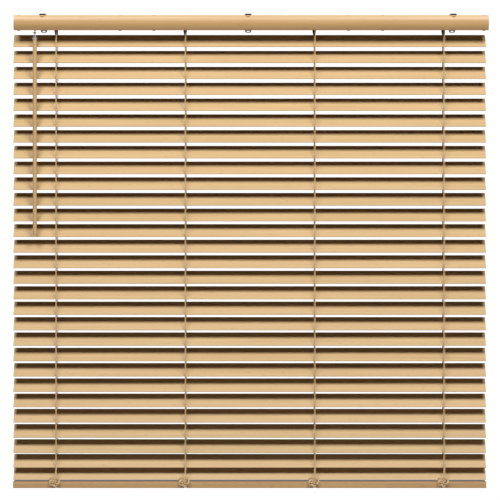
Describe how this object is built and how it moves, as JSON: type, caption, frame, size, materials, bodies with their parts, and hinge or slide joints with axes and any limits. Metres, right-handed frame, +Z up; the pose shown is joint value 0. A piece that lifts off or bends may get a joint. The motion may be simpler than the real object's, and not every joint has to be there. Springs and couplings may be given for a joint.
{
  "type": "bamboo venetian blind",
  "caption": "Horizontal blind of tilting bamboo slats on cord ladders under a channel headrail, with a crowned valance, a tilt wand, cord knots and ceiling brackets.",
  "frame": {"origin": "middle of the centre bracket's top mounting face", "axes": "+X along the blind to the right seen from the room, -Y towards the room, +Z up"},
  "size_m": [1.403, 0.0708, 1.401],
  "materials": {
    "slat_bamboo": "satin lacquered bamboo",
    "rail_bamboo": "satin lacquered bamboo",
    "valance_bamboo": "satin lacquered bamboo",
    "wand_bamboo": "satin lacquered bamboo",
    "clear_plastic": "clear",
    "enamelled_steel": "baked enamel",
    "cap_plastic": "matt",
    "clip_steel": "satin enamel",
    "bracket_steel": "grey enamel",
    "rod_steel": "zinc plated",
    "gear_plastic": "matt",
    "cradle_plastic": "matt",
    "cord": "braided polyester"
  },
  "bodies": {
    "frame": {"slat_30": "slat_bamboo", "bottom_rail": "rail_bamboo", "rail_plugs": "clear_plastic", "headrail": "enamelled_steel", "headrail_end_cap_left": "cap_plastic", "headrail_end_cap_right": "cap_plastic", "valance": "valance_bamboo", "valance_clips": "clip_steel", "bracket_left": "bracket_steel", "bracket_centre": "bracket_steel", "bracket_right": "bracket_steel", "cord_cradles": "cradle_plastic", "tilter_housing": "gear_plastic", "lift_motor": "gear_plastic", "ladder_tops": "cord", "ladder_tails": "cord", "lift_cords": "cord", "cord_knots": "cord"},
    "rod": {"tilt_rod": "rod_steel", "tilt_drums": "gear_plastic", "worm_wheel": "gear_plastic"},
    "slat_01_body": {"slat_01": "slat_bamboo"},
    "slat_02_body": {"slat_02": "slat_bamboo"},
    "slat_03_body": {"slat_03": "slat_bamboo"},
    "slat_04_body": {"slat_04": "slat_bamboo"},
    "slat_05_body": {"slat_05": "slat_bamboo"},
    "slat_06_body": {"slat_06": "slat_bamboo"},
    "slat_07_body": {"slat_07": "slat_bamboo"},
    "slat_08_body": {"slat_08": "slat_bamboo"},
    "slat_09_body": {"slat_09": "slat_bamboo"},
    "slat_10_body": {"slat_10": "slat_bamboo"},
    "slat_11_body": {"slat_11": "slat_bamboo"},
    "slat_12_body": {"slat_12": "slat_bamboo"},
    "slat_13_body": {"slat_13": "slat_bamboo"},
    "slat_14_body": {"slat_14": "slat_bamboo"},
    "slat_15_body": {"slat_15": "slat_bamboo"},
    "slat_16_body": {"slat_16": "slat_bamboo"},
    "slat_17_body": {"slat_17": "slat_bamboo"},
    "slat_18_body": {"slat_18": "slat_bamboo"},
    "slat_19_body": {"slat_19": "slat_bamboo"},
    "slat_20_body": {"slat_20": "slat_bamboo"},
    "slat_21_body": {"slat_21": "slat_bamboo"},
    "slat_22_body": {"slat_22": "slat_bamboo"},
    "slat_23_body": {"slat_23": "slat_bamboo"},
    "slat_24_body": {"slat_24": "slat_bamboo"},
    "slat_25_body": {"slat_25": "slat_bamboo"},
    "slat_26_body": {"slat_26": "slat_bamboo"},
    "slat_27_body": {"slat_27": "slat_bamboo"},
    "slat_28_body": {"slat_28": "slat_bamboo"},
    "slat_29_body": {"slat_29": "slat_bamboo"},
    "ladder_front": {"ladder_front_cords": "cord"},
    "ladder_back": {"ladder_back_cords": "cord"},
    "worm": {"worm_shaft": "rod_steel"},
    "hook": {"wand_hook": "rod_steel"},
    "wand_body": {"wand_pin": "clear_plastic", "wand_connector": "clear_plastic", "wand": "wand_bamboo"}
  },
  "joints": [
    {"name": "tilt", "type": "hinge", "parent": "frame", "child": "rod", "pos_m": [0, 0, -0.026], "axis": [1, 0, 0], "range_deg": [-216, 36], "deforming": ["ladder_tops", "ladder_tails"]},
    {"name": "slat_01_tilt", "type": "hinge", "parent": "frame", "child": "slat_01_body", "pos_m": [0, 0, -0.0789], "axis": [1, 0, 0], "range_deg": [-120.5, 20.5]},
    {"name": "slat_02_tilt", "type": "hinge", "parent": "frame", "child": "slat_02_body", "pos_m": [0, 0, -0.1262], "axis": [1, 0, 0], "range_deg": [-120.5, 20.5]},
    {"name": "slat_03_tilt", "type": "hinge", "parent": "frame", "child": "slat_03_body", "pos_m": [0, 0, -0.17341], "axis": [1, 0, 0], "range_deg": [-120.5, 20.5]},
    {"name": "slat_04_tilt", "type": "hinge", "parent": "frame", "child": "slat_04_body", "pos_m": [0, 0, -0.22052], "axis": [1, 0, 0], "range_deg": [-120.5, 20.5]},
    {"name": "slat_05_tilt", "type": "hinge", "parent": "frame", "child": "slat_05_body", "pos_m": [0, 0, -0.26755], "axis": [1, 0, 0], "range_deg": [-120.5, 20.5]},
    {"name": "slat_06_tilt", "type": "hinge", "parent": "frame", "child": "slat_06_body", "pos_m": [0, 0, -0.31448], "axis": [1, 0, 0], "range_deg": [-120.5, 20.5]},
    {"name": "slat_07_tilt", "type": "hinge", "parent": "frame", "child": "slat_07_body", "pos_m": [0, 0, -0.36132], "axis": [1, 0, 0], "range_deg": [-120.5, 20.5]},
    {"name": "slat_08_tilt", "type": "hinge", "parent": "frame", "child": "slat_08_body", "pos_m": [0, 0, -0.40807], "axis": [1, 0, 0], "range_deg": [-120.5, 20.5]},
    {"name": "slat_09_tilt", "type": "hinge", "parent": "frame", "child": "slat_09_body", "pos_m": [0, 0, -0.45472], "axis": [1, 0, 0], "range_deg": [-120.5, 20.5]},
    {"name": "slat_10_tilt", "type": "hinge", "parent": "frame", "child": "slat_10_body", "pos_m": [0, 0, -0.50129], "axis": [1, 0, 0], "range_deg": [-120.5, 20.5]},
    {"name": "slat_11_tilt", "type": "hinge", "parent": "frame", "child": "slat_11_body", "pos_m": [0, 0, -0.54776], "axis": [1, 0, 0], "range_deg": [-120.5, 20.5]},
    {"name": "slat_12_tilt", "type": "hinge", "parent": "frame", "child": "slat_12_body", "pos_m": [0, 0, -0.59414], "axis": [1, 0, 0], "range_deg": [-120.5, 20.5]},
    {"name": "slat_13_tilt", "type": "hinge", "parent": "frame", "child": "slat_13_body", "pos_m": [0, 0, -0.64043], "axis": [1, 0, 0], "range_deg": [-120.5, 20.5]},
    {"name": "slat_14_tilt", "type": "hinge", "parent": "frame", "child": "slat_14_body", "pos_m": [0, 0, -0.68662], "axis": [1, 0, 0], "range_deg": [-120.5, 20.5]},
    {"name": "slat_15_tilt", "type": "hinge", "parent": "frame", "child": "slat_15_body", "pos_m": [0, 0, -0.73273], "axis": [1, 0, 0], "range_deg": [-120.5, 20.5]},
    {"name": "slat_16_tilt", "type": "hinge", "parent": "frame", "child": "slat_16_body", "pos_m": [0, 0, -0.77874], "axis": [1, 0, 0], "range_deg": [-120.5, 20.5]},
    {"name": "slat_17_tilt", "type": "hinge", "parent": "frame", "child": "slat_17_body", "pos_m": [0, 0, -0.82466], "axis": [1, 0, 0], "range_deg": [-120.5, 20.5]},
    {"name": "slat_18_tilt", "type": "hinge", "parent": "frame", "child": "slat_18_body", "pos_m": [0, 0, -0.87049], "axis": [1, 0, 0], "range_deg": [-120.5, 20.5]},
    {"name": "slat_19_tilt", "type": "hinge", "parent": "frame", "child": "slat_19_body", "pos_m": [0, 0, -0.91622], "axis": [1, 0, 0], "range_deg": [-120.5, 20.5]},
    {"name": "slat_20_tilt", "type": "hinge", "parent": "frame", "child": "slat_20_body", "pos_m": [0, 0, -0.96187], "axis": [1, 0, 0], "range_deg": [-120.5, 20.5]},
    {"name": "slat_21_tilt", "type": "hinge", "parent": "frame", "child": "slat_21_body", "pos_m": [0, 0, -1.00742], "axis": [1, 0, 0], "range_deg": [-120.5, 20.5]},
    {"name": "slat_22_tilt", "type": "hinge", "parent": "frame", "child": "slat_22_body", "pos_m": [0, 0, -1.05288], "axis": [1, 0, 0], "range_deg": [-120.5, 20.5]},
    {"name": "slat_23_tilt", "type": "hinge", "parent": "frame", "child": "slat_23_body", "pos_m": [0, 0, -1.09825], "axis": [1, 0, 0], "range_deg": [-120.5, 20.5]},
    {"name": "slat_24_tilt", "type": "hinge", "parent": "frame", "child": "slat_24_body", "pos_m": [0, 0, -1.14352], "axis": [1, 0, 0], "range_deg": [-120.5, 20.5]},
    {"name": "slat_25_tilt", "type": "hinge", "parent": "frame", "child": "slat_25_body", "pos_m": [0, 0, -1.18871], "axis": [1, 0, 0], "range_deg": [-120.5, 20.5]},
    {"name": "slat_26_tilt", "type": "hinge", "parent": "frame", "child": "slat_26_body", "pos_m": [0, 0, -1.2338], "axis": [1, 0, 0], "range_deg": [-120.5, 20.5]},
    {"name": "slat_27_tilt", "type": "hinge", "parent": "frame", "child": "slat_27_body", "pos_m": [0, 0, -1.2788], "axis": [1, 0, 0], "range_deg": [-120.5, 20.5]},
    {"name": "slat_28_tilt", "type": "hinge", "parent": "frame", "child": "slat_28_body", "pos_m": [0, 0, -1.3225], "axis": [1, 0, 0], "range_deg": [-120.5, 20.5]},
    {"name": "slat_29_tilt", "type": "hinge", "parent": "frame", "child": "slat_29_body", "pos_m": [0, 0, -1.358], "axis": [1, 0, 0], "range_deg": [-120.5, 20.5]},
    {"name": "ladder_front_shift", "type": "hinge", "parent": "slat_15_body", "child": "ladder_front", "pos_m": [0, -0.01822, -0.75368], "axis": [1, 0, 0], "range_deg": [-20.5, 120.5], "deforming": ["ladder_front_cords"]},
    {"name": "ladder_back_shift", "type": "hinge", "parent": "slat_15_body", "child": "ladder_back", "pos_m": [0, 0.01822, -0.71177], "axis": [1, 0, 0], "range_deg": [-20.5, 120.5], "deforming": ["ladder_back_cords"]},
    {"name": "worm_turn", "type": "hinge", "parent": "frame", "child": "worm", "pos_m": [-0.629, -0.033, -0.0575], "axis": [0, 0.5412, 0.8409], "range_deg": [-2160.5, 360.5]},
    {"name": "wand_turn", "type": "hinge", "parent": "frame", "child": "hook", "pos_m": [-0.629, -0.033, -0.0575], "axis": [0, 0, 1], "range_deg": [-2160.5, 360.5]},
    {"name": "wand_swing", "type": "hinge", "parent": "hook", "child": "wand_body", "pos_m": [-0.629, -0.033, -0.0674], "axis": [-1, 0, 0], "range_deg": [0, 75]}
  ],
  "couplings": [
    {"joint": "slat_01_tilt", "follows": "tilt", "ratio": 0.55556},
    {"joint": "slat_02_tilt", "follows": "tilt", "ratio": 0.55556},
    {"joint": "slat_03_tilt", "follows": "tilt", "ratio": 0.55556},
    {"joint": "slat_04_tilt", "follows": "tilt", "ratio": 0.55556},
    {"joint": "slat_05_tilt", "follows": "tilt", "ratio": 0.55556},
    {"joint": "slat_06_tilt", "follows": "tilt", "ratio": 0.55556},
    {"joint": "slat_07_tilt", "follows": "tilt", "ratio": 0.55556},
    {"joint": "slat_08_tilt", "follows": "tilt", "ratio": 0.55556},
    {"joint": "slat_09_tilt", "follows": "tilt", "ratio": 0.55556},
    {"joint": "slat_10_tilt", "follows": "tilt", "ratio": 0.55556},
    {"joint": "slat_11_tilt", "follows": "tilt", "ratio": 0.55556},
    {"joint": "slat_12_tilt", "follows": "tilt", "ratio": 0.55556},
    {"joint": "slat_13_tilt", "follows": "tilt", "ratio": 0.55556},
    {"joint": "slat_14_tilt", "follows": "tilt", "ratio": 0.55556},
    {"joint": "slat_15_tilt", "follows": "tilt", "ratio": 0.55556},
    {"joint": "slat_16_tilt", "follows": "tilt", "ratio": 0.55556},
    {"joint": "slat_17_tilt", "follows": "tilt", "ratio": 0.55556},
    {"joint": "slat_18_tilt", "follows": "tilt", "ratio": 0.55556},
    {"joint": "slat_19_tilt", "follows": "tilt", "ratio": 0.55556},
    {"joint": "slat_20_tilt", "follows": "tilt", "ratio": 0.55556},
    {"joint": "slat_21_tilt", "follows": "tilt", "ratio": 0.55556},
    {"joint": "slat_22_tilt", "follows": "tilt", "ratio": 0.55556},
    {"joint": "slat_23_tilt", "follows": "tilt", "ratio": 0.55556},
    {"joint": "slat_24_tilt", "follows": "tilt", "ratio": 0.55556},
    {"joint": "slat_25_tilt", "follows": "tilt", "ratio": 0.55556},
    {"joint": "slat_26_tilt", "follows": "tilt", "ratio": 0.55556},
    {"joint": "slat_27_tilt", "follows": "tilt", "ratio": 0.55556},
    {"joint": "slat_28_tilt", "follows": "tilt", "ratio": 0.55556},
    {"joint": "slat_29_tilt", "follows": "tilt", "ratio": 0.55556},
    {"joint": "ladder_front_shift", "follows": "tilt", "ratio": -0.55556},
    {"joint": "ladder_back_shift", "follows": "tilt", "ratio": -0.55556},
    {"joint": "worm_turn", "follows": "tilt", "ratio": 10},
    {"joint": "wand_turn", "follows": "tilt", "ratio": 10}
  ]
}
